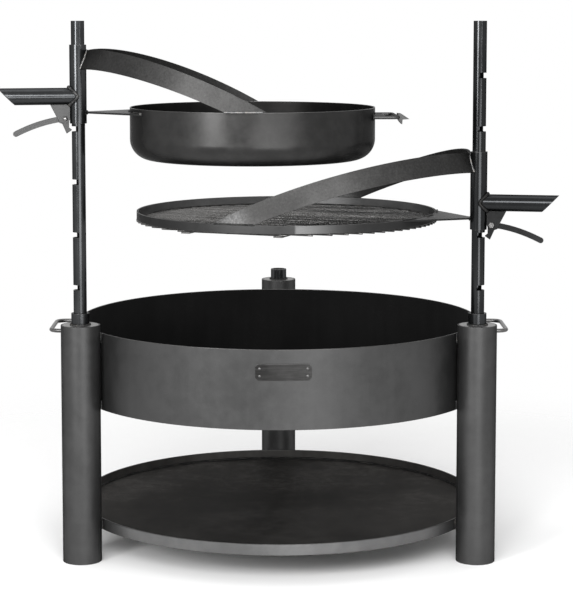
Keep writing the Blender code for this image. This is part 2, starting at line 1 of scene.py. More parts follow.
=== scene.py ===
# %% [markdown]
# # A brazier with a swinging grill and a swinging pan
#
# The real object is a fire bowl of rolled steel on three tube legs, with a round tray under it.
# A pole stands in a socket on each front leg, and on each pole a carriage slides, latches into
# notches and swings. The solids of the part are already packed, so this lesson dresses them:
# finer surfaces, softened edges, welds, and a finish for each kind of steel.

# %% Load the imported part
import json
import math
from collections import namedtuple

import bmesh
import bpy
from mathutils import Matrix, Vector

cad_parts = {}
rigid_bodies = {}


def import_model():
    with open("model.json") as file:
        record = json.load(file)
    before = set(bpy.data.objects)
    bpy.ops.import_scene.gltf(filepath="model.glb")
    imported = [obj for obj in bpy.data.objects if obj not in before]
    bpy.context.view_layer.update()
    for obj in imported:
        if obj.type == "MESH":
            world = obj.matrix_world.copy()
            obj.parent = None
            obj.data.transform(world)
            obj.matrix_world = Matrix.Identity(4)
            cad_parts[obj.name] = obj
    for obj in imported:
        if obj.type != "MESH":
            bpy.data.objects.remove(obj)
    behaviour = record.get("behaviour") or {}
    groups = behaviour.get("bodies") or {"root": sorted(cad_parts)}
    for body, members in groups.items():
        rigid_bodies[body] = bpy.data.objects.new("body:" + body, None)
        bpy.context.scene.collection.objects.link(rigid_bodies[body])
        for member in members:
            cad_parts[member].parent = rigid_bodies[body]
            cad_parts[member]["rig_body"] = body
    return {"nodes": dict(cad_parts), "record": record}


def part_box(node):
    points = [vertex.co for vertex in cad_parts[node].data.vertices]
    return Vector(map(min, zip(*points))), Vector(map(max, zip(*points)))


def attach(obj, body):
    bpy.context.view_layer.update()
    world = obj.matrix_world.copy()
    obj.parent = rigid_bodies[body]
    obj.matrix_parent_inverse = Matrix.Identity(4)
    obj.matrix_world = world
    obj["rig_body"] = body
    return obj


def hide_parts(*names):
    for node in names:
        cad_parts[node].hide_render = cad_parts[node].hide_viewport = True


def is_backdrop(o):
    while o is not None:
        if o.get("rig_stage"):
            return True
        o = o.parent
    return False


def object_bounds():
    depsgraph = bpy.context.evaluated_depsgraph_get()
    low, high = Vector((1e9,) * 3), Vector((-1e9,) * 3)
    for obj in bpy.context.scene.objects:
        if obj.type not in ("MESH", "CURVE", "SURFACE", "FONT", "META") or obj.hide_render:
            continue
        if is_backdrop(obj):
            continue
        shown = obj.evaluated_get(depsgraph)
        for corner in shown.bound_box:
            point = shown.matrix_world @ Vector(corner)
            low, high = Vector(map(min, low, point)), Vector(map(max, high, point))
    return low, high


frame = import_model()
scene = bpy.context.scene
nodes = frame["nodes"]
cad_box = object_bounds()
node_slots = {row["node"]: row["material_slot"] for row in frame["record"]["subparts"]}

# %% [markdown]
# ## The camera
#
# The photograph was taken from chest height with a long lens, nearly five metres away. The camera
# is tipped down a little and its frame is shifted down by a small part of its size, which keeps
# the legs and the poles nearly upright in the picture, as a shift lens does.

# %% Camera
PHOTO_SIZE = (573, 600)
SENSOR = 36.0
FOCAL_PIXELS = 2005.5
CAMERA_PLACE = (-0.0047, -4.7518, 1.2543)
CAMERA_TILT = 0.0995
CAMERA_SHIFT = (0.0162, -0.15)

lens = bpy.data.cameras.new("photo camera")
lens.sensor_width = SENSOR
lens.lens = FOCAL_PIXELS / max(PHOTO_SIZE) * SENSOR
lens.shift_x, lens.shift_y = CAMERA_SHIFT
camera = bpy.data.objects.new("photo camera", lens)
camera.location = CAMERA_PLACE
camera.rotation_euler = (math.pi / 2 - CAMERA_TILT, 0, 0)
scene.collection.objects.link(camera)
scene.camera = camera
print("focal length", round(lens.lens, 1), "mm")

# %% [markdown]
# ## Writing node trees as expressions
#
# Wiring nodes one by one is hard to read back. A small class wraps an output socket, so that
# `1 - mask` or `grain * 0.2` adds the Math nodes itself. A second class adds every other node:
# it takes the node's type, the values or links of its sockets, and its settings. The same two
# classes write the materials and the Geometry Nodes trees.

# %% Values
class Value:
    """An output socket. Arithmetic on it adds Math nodes to its tree."""

    def __init__(self, graph, socket):
        self.graph = graph
        self.socket = socket

    def maths(self, operation, *values):
        return self.graph.node("ShaderNodeMath", dict(enumerate(values)), {"operation": operation})

    def __add__(self, other):
        return self.maths("ADD", self, other)

    def __sub__(self, other):
        return self.maths("SUBTRACT", self, other)

    def __rsub__(self, other):
        return self.maths("SUBTRACT", other, self)

    def __mul__(self, other):
        return self.maths("MULTIPLY", self, other)

    def __truediv__(self, other):
        return self.maths("DIVIDE", self, other)

    def __rtruediv__(self, other):
        return self.maths("DIVIDE", other, self)

    def __pow__(self, other):
        return self.maths("POWER", self, other)

    def __rpow__(self, other):
        return self.maths("POWER", other, self)

    __radd__ = __add__
    __rmul__ = __mul__

    def ramp(self, low, high, start=0.0, end=1.0):
        """A smooth step from start, at or below low, to end, at or above high."""
        sockets = {"Value": self, "From Min": low, "From Max": high, "To Min": start, "To Max": end}
        return self.graph.node("ShaderNodeMapRange", sockets, {"interpolation_type": "SMOOTHSTEP"})

    def other(self, name):
        """Another output of the same node."""
        return Value(self.graph, self.socket.node.outputs[name])


print("Value is ready")


# %% Graphs
class Graph:
    """A node tree to which one method adds any node."""

    def __init__(self, tree):
        self.tree = tree

    def node(self, kind, inputs=None, settings=None, output=0):
        """Adds a node. Its settings are set first, because some of them decide its sockets."""
        made = self.tree.nodes.new(kind)
        for name, value in (settings or {}).items():
            setattr(made, name, value)
        for name, value in (inputs or {}).items():
            if isinstance(value, Value):
                self.tree.links.new(value.socket, made.inputs[name])
            else:
                made.inputs[name].default_value = value
        return Value(self, made.outputs[output]) if made.outputs else made

    def blend(self, first, second, factor):
        """One colour going over into another."""
        colours = [(*c, 1) if isinstance(c, tuple) else c for c in (first, second)]
        sockets = {0: factor, 6: colours[0], 7: colours[1]}
        return self.node("ShaderNodeMix", sockets, {"data_type": "RGBA"}, 2)


print("Graph is ready")

# %% [markdown]
# ## Steel finishes
#
# Every piece is steel, but no two kinds look the same: raw sheet with mill scale, tube that came
# blued from the mill, flat bar that was rolled and ground, sheet blackened by fire, turned discs,
# bare rod and zinc-plated bolts. All of them are made of the same few ideas, so one class holds
# these: soft or drawn noise, a spot that fades out, and a bump from the grain. The patterns read
# Object coordinates. Each piece's object stays at the origin, so a pattern runs on from one piece
# to the next, as on parts cut from one sheet.

# %% The finish class
class Finish(Graph):
    """A steel material whose colour, roughness and bump are written as expressions."""

    def __init__(self, name, metallic):
        self.material = bpy.data.materials.new(name)
        self.material.use_nodes = True
        super().__init__(self.material.node_tree)
        self.shader = self.tree.nodes["Principled BSDF"]
        self.shader.inputs["Metallic"].default_value = metallic
        self.place = self.node("ShaderNodeTexCoord", output="Object")

    def noise(self, scale, stretch=(1, 1, 1), detail=3.0, rough=0.5, turn=0.0):
        """Noise around 0.5, drawn out along each axis by its stretch and turned about Z."""
        mapping = {"Vector": self.place, "Scale": stretch, "Rotation": (0, 0, turn)}
        vector = self.node("ShaderNodeMapping", mapping, {"vector_type": "TEXTURE"})
        sockets = {"Vector": vector, "Scale": scale, "Detail": detail, "Roughness": rough}
        return self.node("ShaderNodeTexNoise", sockets)

    def along(self, axis):
        """The place along one axis."""
        return self.node("ShaderNodeSeparateXYZ", {"Vector": self.place}, output=axis)

    def near(self, spot, full, gone):
        """One within full metres of a spot, fading to zero at gone metres."""
        sockets = {0: self.place, 1: tuple(spot)}
        away = self.node("ShaderNodeVectorMath", sockets, {"operation": "DISTANCE"}, "Value")
        return away.ramp(full, gone, 1, 0)

    def link(self, socket, value):
        self.tree.links.new(value.socket, self.shader.inputs[socket])

    def bump(self, height, strength, distance):
        sockets = {"Height": height, "Strength": strength, "Distance": distance}
        self.link("Normal", self.node("ShaderNodeBump", sockets))

    def edge_tint(self, colour):
        """Metal seen at a grazing angle reflects this much of each colour."""
        self.shader.inputs["Specular Tint"].default_value = (*colour, 1)


def grey(level, warmth=0.0):
    """A grey of this linear level, warmer or, below zero, bluer."""
    return (level * (1 + warmth), level, level * (1 - warmth))


print("Finish is ready")

# %% [markdown]
# ### Raw sheet and tube
#
# The legs, the bowl, the tray and the pan are hot rolled steel with a thin oiled scale. It is
# nearly even from afar. Close up it shows clouds of lighter and darker scale, a grain as fine as
# skin, and faint upright streaks where the oil ran. Rolled and spun pieces have level streaks. The
# ring of the grill has a painted reflection: a light grey spot that starts right of the ring's
# middle and fades out along it. The gussets are seen almost edge on, and mirror more of the light
# at that flat angle.

# %% Mill steel
UPRIGHT = (1, 1, 30)
LEVEL = (30, 30, 1)
# A painted reflection on the grill ring: a light grey spot from right of the ring's middle at the front.
SHEEN_GREY = 0.11
SHEEN_OFFSET = 0.014
SHEEN_EDGE = 0.006
SHEEN_FADE = 0.13
ring_low, ring_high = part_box("grill_ring")
ring_middle = (ring_low + ring_high) / 2
sheen_start = Vector((ring_middle.x + SHEEN_OFFSET, ring_low.y, ring_middle.z))


def painted_sheen(finish):
    """The share of the ring's painted reflection, a spot that fades out from right of its middle."""
    past_sheen_start = finish.along("X").ramp(sheen_start.x, sheen_start.x + SHEEN_EDGE)
    return finish.near(sheen_start, 0, SHEEN_FADE) * past_sheen_start


def mill_steel(name, dark, light, roughness, warmth=0.0, drawn=UPRIGHT, edge=0.22, lighter_spot=None):
    """Raw sheet or tube. A given spot says how much of the steel is painted light grey."""
    finish = Finish(name, 0.85)
    clouds = finish.noise(5, detail=5, rough=0.6)
    patches = finish.noise(34, detail=4, rough=0.65)
    grain = finish.noise(900, detail=2)
    streaks = finish.noise(60, drawn)
    tone = clouds * 0.5 + patches * 0.25 + streaks * 0.1 + grain * 0.15
    colour = finish.blend(grey(dark, warmth), grey(light, warmth), tone.ramp(0.36, 0.64))
    # A given spot is painted light grey over the scale; on the ring it is a painted reflection.
    if lighter_spot:
        colour = finish.blend(colour, grey(SHEEN_GREY), lighter_spot(finish))
    finish.link("Base Color", colour)
    rough = roughness + (patches - 0.5) * 0.16 + (grain - 0.5) * 0.1 + (clouds - 0.5) * 0.1
    finish.link("Roughness", rough)
    finish.bump(grain * 0.6 + patches * 0.4, 0.12, 0.0006)
    finish.edge_tint(grey(edge))
    return finish.material


FINISHES = {"mill_steel": mill_steel("mill steel", 0.052, 0.070, 0.42)}
# A lighter copy of the mill steel: a painted highlight of the lamp on the tray's rolled lip.
LIT_TRAY_RIM = mill_steel("tray rim", 0.100, 0.145, 0.40, drawn=LEVEL)
SPUN = mill_steel("spun pan", 0.026, 0.044, 0.34, warmth=0.01, drawn=LEVEL)
SEASONED = mill_steel("seasoned pan", 0.011, 0.022, 0.40, warmth=0.02, drawn=LEVEL)
TRAY_FLOOR = mill_steel("dusty tray", 0.045, 0.090, 0.55, warmth=0.04)
DARK_PLATE = mill_steel("dark plate", 0.012, 0.022, 0.38, warmth=-0.01)
GUSSET = mill_steel("gusset plate", 0.018, 0.032, 0.40, edge=0.66)
# The grill ring carries the painted reflection.
RING = mill_steel("grill ring", 0.034, 0.048, 0.42, drawn=LEVEL, lighter_spot=painted_sheen)
print("made", FINISHES["mill_steel"].name, "and its seven kin")

# %% [markdown]
# ### Blued tube
#
# The poles, the sleeves and the grips keep the smooth blue-black skin of precision tube. It is
# glossier than the sheet, so each lamp draws a bright line down it. Where a sleeve has slid, the
# skin is rubbed in fine lines along the tube.

# %% Blued tube
def blued_tube(name, dark, light, roughness):
    finish = Finish(name, 0.9)
    clouds = finish.noise(9, detail=4)
    rubbed = finish.noise(420, (1, 1, 80), detail=2)
    grain = finish.noise(1500, detail=1)
    tone = clouds * 0.5 + rubbed * 0.4 + grain * 0.1
    finish.link("Base Color", finish.blend(grey(dark, -0.04), grey(light, -0.03), tone.ramp(0.38, 0.66)))
    finish.link("Roughness", roughness + (rubbed - 0.5) * 0.08 + (clouds - 0.5) * 0.1)
    finish.bump(rubbed * 0.8 + grain * 0.2, 0.015, 0.0003)
    finish.edge_tint(grey(0.25))
    return finish.material


FINISHES["blued_pole"] = blued_tube("blued tube", 0.034, 0.054, 0.19)
BLACK_TUBE = blued_tube("black tube", 0.022, 0.034, 0.15)
print("made", FINISHES["blued_pole"].name, "and", BLACK_TUBE.name)

# %% [markdown]
# ### Rolled flat bar
#
# The arms are flat bar, bent cold and wiped down. It is the most mottled steel on the object:
# broad light and dark patches, with flecks of scale between them. Where a strip of the grill stands
# on the ring it was ground after welding, so a light spot fades out round each landing.

# %% Rolled bar
LANDING_GREY = 0.15
LANDING_FULL = 0.004
LANDING_FADE = 0.060
FOOT_BAND = 0.001


def landing(node):
    """The middle of the edge on which a strip stands."""
    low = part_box(node)[0].z
    feet = [v.co for v in nodes[node].data.vertices if v.co.z < low + FOOT_BAND]
    return sum(feet, Vector()) / len(feet)


def rolled_bar(name, dark, light, roughness):
    finish = Finish(name, 0.85)
    patches = finish.noise(9, detail=5, rough=0.6)
    flecks = finish.noise(210, detail=4, rough=0.7)
    grain = finish.noise(1100, detail=1)
    tone = (patches * 0.4 + flecks * 0.35 + grain * 0.25).ramp(0.38, 0.64)
    steel = finish.blend(grey(dark, 0.01), grey(light, 0.01), tone)
    landings = [landing(f"grill_strip_{label}") for label in ("a", "b")]
    first, second = (finish.near(spot, LANDING_FULL, LANDING_FADE) for spot in landings)
    lighter_spot = (first + second) * flecks.ramp(0.35, 0.65, 0.25, 0.75)
    finish.link("Base Color", finish.blend(steel, grey(LANDING_GREY), lighter_spot))
    finish.link("Roughness", roughness + (patches - 0.5) * 0.12 + (flecks - 0.5) * 0.12)
    finish.bump(flecks * 0.5 + grain * 0.5, 0.16, 0.0006)
    finish.edge_tint(grey(0.10))
    return finish.material


FINISHES["brushed_strip"] = rolled_bar("rolled bar", 0.026, 0.052, 0.44)
print("made", FINISHES["brushed_strip"].name)

# %% [markdown]
# ### Steel that has seen fire, and shade painted in hollows
#
# The inside of the bowl is matt and nearly black. Ash dust lies on its floor in soft clouds, and
# its wall is a little lighter towards the rim. The empty insides of the sockets are painted as
# dark: painted shade in the hollows.

# %% Sooty steel
BOWL_LOW, BOWL_HIGH = (corner.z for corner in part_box("bowl_wall"))


def sooty_steel(name, dark, light, ash):
    finish = Finish(name, 0.35)
    finish.shader.inputs["Specular IOR Level"].default_value = 0.25
    clouds = finish.noise(7, detail=6, rough=0.6)
    specks = finish.noise(240, detail=3, rough=0.7)
    streaks = finish.noise(46, (1, 1, 12), detail=4)
    # The wall is lighter towards the rim.
    towards_rim = finish.along("Z").ramp(BOWL_LOW, BOWL_HIGH, 0, 0.75)
    tone = (clouds * 0.5 + streaks * 0.3 + specks * 0.2).ramp(0.35, 0.66)
    steel = finish.blend(grey(dark), grey(light), tone * 0.5 + towards_rim * 0.5)
    dust = (specks * 0.5 + clouds * 0.5).ramp(0.56, 0.72, 0, 0.35)
    finish.link("Base Color", finish.blend(steel, grey(ash, 0.06), dust))
    finish.link("Roughness", 0.74 + (clouds - 0.5) * 0.2 + (specks - 0.5) * 0.14)
    finish.bump(specks * 0.7 + clouds * 0.3, 0.25, 0.0009)
    finish.edge_tint(grey(0.15))
    return finish.material


# Soot for the bowl; the same near-black is painted as shade inside the sockets.
FINISHES["sooty_steel"] = sooty_steel("sooty steel", 0.006, 0.012, 0.024)
ASH_FLOOR = sooty_steel("ash on steel", 0.012, 0.030, 0.110)
print("made", FINISHES["sooty_steel"].name, "and", ASH_FLOOR.name)

# %% [markdown]
# ### Bright steel: turned discs, bare rod, zinc and weld metal
#
# These are the light notes of the object. Rod and zinc are nearly even metal, with grain and
# drawn lines. Weld metal is silver with a breath of straw where it cooled, or dull where oil and
# paint cover it.

# %% Bright steels
STRAW = (0.7, 0.55, 0.38)


def bright_steel(name, dark, light, roughness, stretch, metallic=0.95):
    finish = Finish(name, metallic)
    drawn = finish.noise(300, stretch)
    clouds = finish.noise(28, detail=4, rough=0.6)
    tone = (drawn * 0.5 + clouds * 0.5).ramp(0.36, 0.64)
    finish.link("Base Color", finish.blend(grey(dark, 0.015), grey(light, 0.01), tone))
    finish.link("Roughness", roughness + (drawn - 0.5) * 0.2 + (clouds - 0.5) * 0.14)
    finish.bump(drawn, 0.1, 0.0004)
    return finish.material


def weld_metal(name, dark, light):
    finish = Finish(name, 0.9)
    clouds = finish.noise(90)
    specks = finish.noise(700, detail=2)
    silver = finish.blend(grey(dark), grey(light), (clouds * 0.6 + specks * 0.4).ramp(0.4, 0.62))
    straw = tuple(light * share for share in STRAW)
    finish.link("Base Color", finish.blend(silver, straw, clouds.ramp(0.52, 0.66, 0, 0.35)))
    finish.link("Roughness", 0.42 + (specks - 0.5) * 0.3)
    finish.bump(specks, 0.2, 0.0004)
    return finish.material


FINISHES["bright_cap"] = bright_steel("ground cap", 0.13, 0.22, 0.42, (1, 20, 1))
FINISHES["bright_rod"] = bright_steel("bare rod", 0.07, 0.14, 0.36, (20, 1, 1))
FINISHES["zinc_bolt"] = bright_steel("zinc plating", 0.16, 0.28, 0.28, (1, 1, 1), metallic=1.0)
WELD = weld_metal("weld metal", 0.06, 0.22)
DULL_WELD = weld_metal("oiled weld", 0.016, 0.055)
GRIP_WELDS = {
    "pan": weld_metal("grip weld", 0.020, 0.090),
    "grill": weld_metal("black grip weld", 0.014, 0.026),
}
PLATE = bright_steel("brushed plate", 0.022, 0.036, 0.34, (30, 1, 1), metallic=0.85)
WORN = bright_steel("worn edge", 0.055, 0.09, 0.38, (1, 1, 1))
print("finishes:", ", ".join(sorted(FINISHES)))

# %% [markdown]
# ## Surfaces for the pieces
#
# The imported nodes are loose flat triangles, which would show as facets on steel. A node is never
# changed. A copy is merged instead, its flat faces joined, its edges rounded by a Bevel, and
# weighted normals keep the broad faces flat. The Bevel's faces take a second material: the rubbed
# steel that a real edge shows. The copy then replaces its node on the same body.

# %% Adding a piece
def add_piece(name, mesh, body, materials, replaced=()):
    """A finished piece at the origin that rides on a body and stands for CAD nodes."""
    piece = bpy.data.objects.new(name, mesh)
    scene.collection.objects.link(piece)
    given = [face.material_index for face in mesh.polygons]
    mesh.materials.clear()
    for material in materials:
        mesh.materials.append(material)
    mesh.polygons.foreach_set("material_index", given)
    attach(piece, body)
    if replaced:
        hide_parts(*replaced)


def stand_in(node, kind, mesh, materials):
    """A piece that stands for one node, on the same body."""
    body, slot = nodes[node]["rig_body"], node_slots[node]
    add_piece(f"{node}_{kind}", mesh, body, materials, [node])


# %% Rounding the edges of a mesh
EDGE_ANGLE = math.radians(32)
SOFT_EDGE = 0.0006
SLOTS = 3


def evaluated(obj):
    """The object's mesh with its modifiers in it. The object itself is removed."""
    graph = bpy.context.evaluated_depsgraph_get()
    mesh = bpy.data.meshes.new_from_object(obj.evaluated_get(graph))
    bpy.data.objects.remove(obj)
    return mesh


def softened(mesh, width, segments=3):
    """The mesh with rounded edges in its second slot, and flat faces that stay flat."""
    mesh.shade_smooth()
    mesh.set_sharp_from_angle(angle=EDGE_ANGLE)
    holder = bpy.data.objects.new("holder", mesh)
    scene.collection.objects.link(holder)
    for _ in range(SLOTS):
        mesh.materials.append(None)
    if width:
        bevel = holder.modifiers.new("soft edges", "BEVEL")
        bevel.width = width
        bevel.segments = segments
        bevel.limit_method = "ANGLE"
        bevel.angle_limit = EDGE_ANGLE
        bevel.material = 1
    weighted = holder.modifiers.new("flat faces", "WEIGHTED_NORMAL")
    weighted.keep_sharp = True
    return evaluated(holder)


print("soft edges are", SOFT_EDGE * 1000, "mm wide")

# %% Dressing a node
MERGE = 2e-6
JOINED_FLAT = math.radians(0.4)


def plain_mesh(built, name):
    """The bmesh as a mesh. The bmesh itself is freed."""
    mesh = bpy.data.meshes.new(name)
    built.to_mesh(mesh)
    built.free()
    return mesh


def merged_copy(node):
    """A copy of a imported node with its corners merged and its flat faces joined."""
    built = bmesh.new()
    built.from_mesh(nodes[node].data)
    bmesh.ops.remove_doubles(built, verts=built.verts, dist=MERGE)
    bmesh.ops.dissolve_limit(built, angle_limit=JOINED_FLAT, verts=built.verts, edges=built.edges)
    mesh = plain_mesh(built, f"{node}_merged")
    if "custom_normal" in mesh.attributes:
        mesh.attributes.remove(mesh.attributes["custom_normal"])
    return mesh


def dress(node, width=SOFT_EDGE, material=None, edge=WORN):
    """Replaces one node with its merged and softened copy."""
    shown = material or FINISHES[node_slots[node]]
    stand_in(node, "skin", softened(merged_copy(node), width), [shown, edge])


print("corners within", MERGE, "m are merged")

# %% [markdown]
# ## Round pieces, turned again
#
# The bowl is almost a metre across, and its silhouette and reflections show every facet. It is
# turned again in 256 steps from a section with rounded corners, and so are the tray, the pan and
# the ring. The legs, their caps, the sockets and the sleeves are thinner, and 96 steps do. The
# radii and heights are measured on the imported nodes. Each corner of a section names the material
# slot of the side that starts there, so that the inside of the bowl can be sooty while its outside
# stays clean.

# %% Sizes of a tube
Tube = namedtuple("Tube", "centre outer inner low high")


def tube_sizes(node):
    """The middle, the radii and the lower and upper end of an upright tube or disc."""
    low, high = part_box(node)
    centre = ((low.x + high.x) / 2, (low.y + high.y) / 2)
    spans = [math.dist(v.co.xy, centre) for v in nodes[node].data.vertices]
    return Tube(centre, max(spans), min(spans), low.z, high.z)


BOWL = tube_sizes("bowl_wall")
print("bowl radius", round(BOWL.outer, 4))

# %% A section and its turning
AXIS = 1e-6
CORNER_STEPS = 3


def section(corners, radius):
    """The outline through (radius, height, slot) corners, each rounded in slot 1."""
    points = []
    for index, (r, z, slot) in enumerate(corners):
        if r < AXIS:
            points.append((0, z, slot))
            continue
        here = Vector((r, z))
        before = Vector(corners[index - 1][:2])
        after = Vector(corners[(index + 1) % len(corners)][:2])
        start = here + (before - here).normalized() * radius
        end = here + (after - here).normalized() * radius
        for step in range(CORNER_STEPS + 1):
            t = step / CORNER_STEPS
            point = start * (1 - t) ** 2 + here * 2 * t * (1 - t) + end * t**2
            points.append((point.x, point.y, 1 if t < 1 else slot))
    return points


def turned(outline, centre, steps):
    """A closed outline of (radius, height, slot) points turned about an upright axis."""
    built = bmesh.new()
    rings = []
    for r, z, _ in outline:
        count = 1 if r < AXIS else steps
        angles = [2 * math.pi * i / steps for i in range(count)]
        rings.append([
            built.verts.new((centre[0] + r * math.cos(a), centre[1] + r * math.sin(a), z))
            for a in angles
        ])
    for index, (_, _, slot) in enumerate(outline):
        here, after = rings[index], rings[(index + 1) % len(rings)]
        if len(here) == len(after) == 1:
            continue
        for i in range(steps):
            j = (i + 1) % steps
            around = ((here, i), (here, j), (after, j), (after, i))
            corners = dict.fromkeys(ring[k % len(ring)] for ring, k in around)
            face = built.faces.new(list(corners))
            face.material_index = slot
    bmesh.ops.recalc_face_normals(built, faces=built.faces)
    return plain_mesh(built, "turned")


def turn_piece(node, outline, centre, materials, steps=256):
    stand_in(node, "turned", softened(turned(outline, centre, steps), 0), materials)


def turn_tube(node, radius=SOFT_EDGE, inside=None, steps=96, outside=None):
    """Turns an upright tube node again. It may have its own materials outside and inside."""
    tube = tube_sizes(node)
    corners = [
        (tube.outer, tube.high, 0), (tube.outer, tube.low, 0),
        (tube.inner, tube.low, 2 if inside else 0), (tube.inner, tube.high, 0),
    ]
    materials = [outside or FINISHES[node_slots[node]], WORN] + ([inside] if inside else [])
    turn_piece(node, section(corners, radius), tube.centre, materials, steps)


print("a rounded corner has", CORNER_STEPS, "steps")

# %% Bowl, tray, legs and sleeves
ROLLED_EDGE = 0.0012
# Soot inside the bowl, and painted shade inside the sockets.
SOOT_AND_SHADE = FINISHES["sooty_steel"]

turn_tube("bowl_wall", ROLLED_EDGE, inside=SOOT_AND_SHADE, steps=256)
# The tray rim's outside takes the painted-lighter copy of the mill steel.
turn_tube("tray_rim", ROLLED_EDGE, inside=TRAY_FLOOR, steps=256, outside=LIT_TRAY_RIM)
for side in ("left", "right", "rear"):
    turn_tube(f"leg_tube_{side}")
    turn_tube(f"leg_cap_{side}")
    # The socket's inside takes the near-black steel as painted shade.
    turn_tube(f"socket_tube_{side}", inside=SOOT_AND_SHADE)
    dress(f"leg_foot_{side}")
turn_tube("pan_sleeve")
turn_tube("grill_sleeve", outside=BLACK_TUBE)
# The ring's inside takes the tray rim's painted-lighter steel; its outside has the painted reflection.
turn_tube("grill_ring", inside=LIT_TRAY_RIM, steps=256, outside=RING)


# %% Floors of the bowl and the tray
def turn_disc(node, material):
    disc = tube_sizes(node)
    r, top, base = disc.outer, disc.high, disc.low
    outline = section([(0, top, 0), (r, top, 0), (r, base, 0), (0, base, 0)], SOFT_EDGE)
    turn_piece(node, outline, disc.centre, [material, WORN])


turn_disc("bowl_floor", ASH_FLOOR)
turn_disc("tray_floor", TRAY_FLOOR)
print("turned the floors of the bowl and the tray")

# %% [markdown]
# ## The pan
#
# The pan is spun from one sheet: a flat floor, a wide rounded corner and a straight wall. The
# section follows it along the inside up to the rim and back round the outside. The cooking side
# is seasoned, so it is darker than the outside.

# %% Pan
PAN_CORNER = 0.046
LIP_EDGE = 0.0009
RIM_BAND = 1e-5
PAN = tube_sizes("pan")
rim = [v.co.xy for v in nodes["pan"].data.vertices if v.co.z > PAN.high - RIM_BAND]
inner, outer = min(math.dist(place, PAN.centre) for place in rim), PAN.outer
PAN_WALL = outer - inner


def quarter(radius, start, end, slot, count=14):
    """Points round the pan's corner, from one angle to another, in degrees."""
    out, up = PAN.outer - PAN_CORNER, PAN.low + PAN_CORNER
    angles = [math.radians(start + (end - start) * i / (count - 1)) for i in range(count)]
    return [(out + radius * math.cos(a), up + radius * math.sin(a), slot) for a in angles]


wall = ((inner, PAN.high), (outer, PAN.high), (outer, PAN.low), (inner, PAN.low))
lip = section([(r, z, 0) for r, z in wall], LIP_EDGE)[:2 * (CORNER_STEPS + 1)]
outline = [
    (0, PAN.low + PAN_WALL, 2),
    *quarter(PAN_CORNER - PAN_WALL, -90, 0, 2),
    *lip,
    *quarter(PAN_CORNER, 0, -90, 0),
    (0, PAN.low, 0),
]
turn_piece("pan", outline, PAN.centre, [SPUN, WORN, SEASONED])
print("pan wall", round(PAN_WALL, 4), "at", [round(v, 3) for v in PAN.centre])

# %% [markdown]
# ## Flat and cut pieces
#
# The poles with their notches, the grips, the arm strips, the gussets, the latches and the hook
# have shapes that a section can't give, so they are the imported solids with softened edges. The
# notches of the left pole have rubbed edges, where the claw has ridden. The right pole and its
# grip are black all over.

# %% Dressed nodes
NARROW_EDGE = 0.0004
STRIP_EDGE = 0.0008
tubes = {"pan": FINISHES["blued_pole"], "grill": BLACK_TUBE}
plates = {"pan": FINISHES["mill_steel"], "grill": DARK_PLATE}
strips = FINISHES["brushed_strip"]
dress("pole_left", NARROW_EDGE)
dress("pole_right", NARROW_EDGE, BLACK_TUBE, BLACK_TUBE)
for which in ("pan", "grill"):
    dress(f"{which}_grip_tube", NARROW_EDGE, tubes[which], tubes[which])
    for label in ("a", "b"):
        dress(f"{which}_strip_{label}", STRIP_EDGE, strips, strips)
        dress(f"{which}_cheek_{label}", NARROW_EDGE, plates[which])
    dress(f"{which}_gusset", SOFT_EDGE, GUSSET, GUSSET)
    dress(f"{which}_lever", SOFT_EDGE, plates[which])
    dress(f"{which}_pivot_bolt", NARROW_EDGE / 2, edge=FINISHES["zinc_bolt"])
    dress(f"{which}_pivot_nut", NARROW_EDGE, edge=FINISHES["zinc_bolt"])
dress("name_plate", NARROW_EDGE, PLATE)
for node in ("pan_handle_plate", "pan_handle_hook"):
    dress(node, NARROW_EDGE, FINISHES["mill_steel"])
for side in ("left", "right", "rear"):
    dress(f"socket_floor_{side}", 0)

# %% [markdown]
# ## Geometry Nodes: bars and welds that follow a path
#
# A handle is a bent bar, and a weld is a bar of another kind: a bead that swells and shrinks
# where each drop of metal froze on the last. Both are a circle swept along a path. One tree makes
# them: the ripple is a sine along the path's length, and a little noise keeps the beads from
# being alike. A path is a mesh of edges, so many welds go into one object.

# %% The tree that sweeps a path
def group_tree(name, inputs):
    """A Geometry Nodes tree with these inputs, each a title with its kind and its default."""
    tree = bpy.data.node_groups.new(name, "GeometryNodeTree")
    for title, (kind, value) in inputs.items():
        socket = tree.interface.new_socket(title, in_out="INPUT", socket_type=f"NodeSocket{kind}")
        if value is not None:
            socket.default_value = value
    tree.interface.new_socket("Geometry", in_out="OUTPUT", socket_type="NodeSocketGeometry")
    return Graph(tree)


def end_tree(graph, geometry, material):
    """Every tree ends alike: Realize Instances, Set Material and the output."""
    geometry = graph.node("GeometryNodeRealizeInstances", {"Geometry": geometry})
    geometry = graph.node("GeometryNodeSetMaterial", {"Geometry": geometry, "Material": material})
    graph.node("NodeGroupOutput", {"Geometry": geometry})
    return graph.tree


